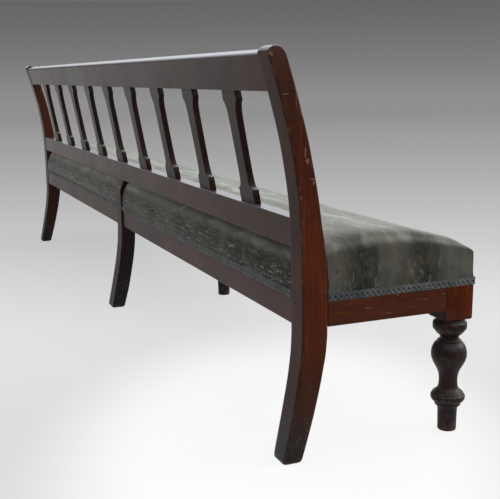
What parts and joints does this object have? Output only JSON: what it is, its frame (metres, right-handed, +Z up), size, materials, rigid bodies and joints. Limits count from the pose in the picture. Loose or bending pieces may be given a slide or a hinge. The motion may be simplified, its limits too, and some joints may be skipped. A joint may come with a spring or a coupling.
{
  "type": "railway station bench",
  "caption": "Long upholstered waiting-room bench with turned front legs, sabre rear legs, a spindled open back, a domed velvet seat and gimp braid.",
  "frame": {"origin": "middle of the bench's length and depth, on the floor plane under its feet", "axes": "+X along the bench to the right end as seen from the front, +Y from the front to the back, +Z up"},
  "size_m": [3.0096, 0.5152, 0.888],
  "materials": {
    "polished_mahogany": "worn French polish",
    "turned_mahogany": "dark worn polish",
    "plain_beech": "sawn, unpolished",
    "figured_velvet": "worn cut pile",
    "gimp_braid": "woven braid",
    "jute": "plain weave",
    "horsehair": "curled hair",
    "screw_steel": "dull"
  },
  "bodies": {
    "root": {"left_stile": "polished_mahogany", "right_stile": "polished_mahogany", "middle_rear_leg": "polished_mahogany", "left_front_leg": "turned_mahogany", "middle_front_leg": "turned_mahogany", "right_front_leg": "turned_mahogany", "crest_rail": "polished_mahogany", "lower_back_rail": "polished_mahogany", "back_spindle_1": "polished_mahogany", "back_spindle_2": "polished_mahogany", "back_spindle_3": "polished_mahogany", "back_spindle_4": "polished_mahogany", "back_spindle_5": "polished_mahogany", "back_spindle_6": "polished_mahogany", "back_spindle_7": "polished_mahogany", "back_spindle_8": "polished_mahogany", "back_spindle_9": "polished_mahogany", "rear_seat_rail_left": "polished_mahogany", "rear_seat_rail_right": "polished_mahogany", "front_seat_rail_left": "polished_mahogany", "front_seat_rail_right": "polished_mahogany", "side_seat_rail_left": "polished_mahogany", "side_seat_rail_right": "polished_mahogany", "middle_cross_rail": "plain_beech", "corner_block_front_left": "plain_beech", "corner_block_front_right": "plain_beech", "corner_block_rear_left": "plain_beech", "corner_block_rear_right": "plain_beech", "corner_screw_1": "screw_steel", "corner_screw_2": "screw_steel", "corner_screw_3": "screw_steel", "corner_screw_4": "screw_steel", "corner_screw_5": "screw_steel", "corner_screw_6": "screw_steel", "corner_screw_7": "screw_steel", "corner_screw_8": "screw_steel", "webbing_long_1": "jute", "webbing_long_2": "jute", "webbing_long_3": "jute", "webbing_cross_1": "jute", "webbing_cross_2": "jute", "webbing_cross_3": "jute", "webbing_cross_4": "jute", "webbing_cross_5": "jute", "webbing_cross_6": "jute", "webbing_cross_7": "jute", "webbing_cross_8": "jute", "webbing_cross_9": "jute", "webbing_cross_10": "jute", "webbing_cross_11": "jute", "webbing_cross_12": "jute", "hessian_base": "jute", "seat_stuffing": "horsehair", "seat_cover": "figured_velvet", "front_gimp": "gimp_braid", "side_gimp_left": "gimp_braid", "side_gimp_right": "gimp_braid", "rear_gimp_left": "gimp_braid", "rear_gimp_right": "gimp_braid"}
  },
  "joints": []
}
